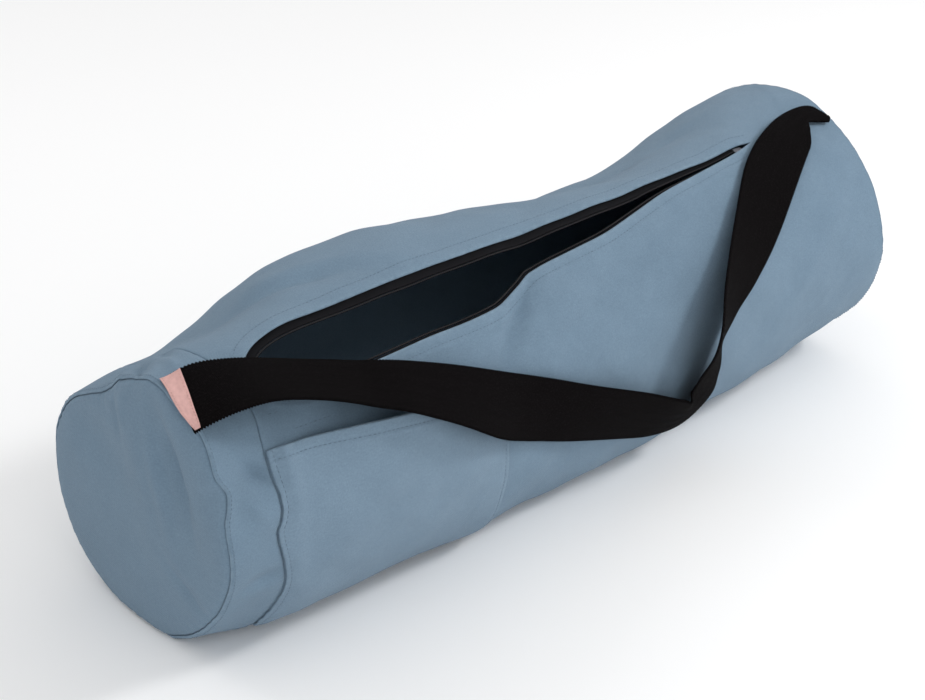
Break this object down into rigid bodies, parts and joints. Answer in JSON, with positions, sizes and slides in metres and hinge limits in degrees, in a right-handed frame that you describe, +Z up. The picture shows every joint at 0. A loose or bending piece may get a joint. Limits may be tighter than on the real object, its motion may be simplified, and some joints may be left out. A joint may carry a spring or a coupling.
{
  "type": "yoga mat bag",
  "caption": "Round canvas duffel for a rolled mat, lying on its side with its long zip open, with a front patch pocket and a webbing shoulder strap.",
  "frame": {"origin": "middle of the flattened underside that the bag rests on, halfway between its two end seams", "axes": "+X along the bag from its left end to its right end, -Y towards the front with the pocket, +Z up"},
  "size_m": [0.6793, 0.2548, 0.2162],
  "materials": {
    "canvas": "blue-grey cotton canvas, matte plain weave",
    "webbing": "black cotton webbing, matte",
    "zip_tape": "black woven zip tape, matte",
    "zip_coil": "black moulded coil, matte",
    "zip_metal": "worn grey metal",
    "label": "dusty pink woven tape, blank"
  },
  "bodies": {
    "root": {"body_panel": "canvas", "cuff_left": "canvas", "end_disc_left": "canvas", "end_disc_right": "canvas", "front_pocket": "canvas", "zip_tape_back": "zip_tape", "zip_tape_front": "zip_tape", "zip_coil_back": "zip_coil", "zip_coil_front": "zip_coil", "zip_slider": "zip_metal", "strap": "webbing", "label": "label"}
  },
  "joints": []
}
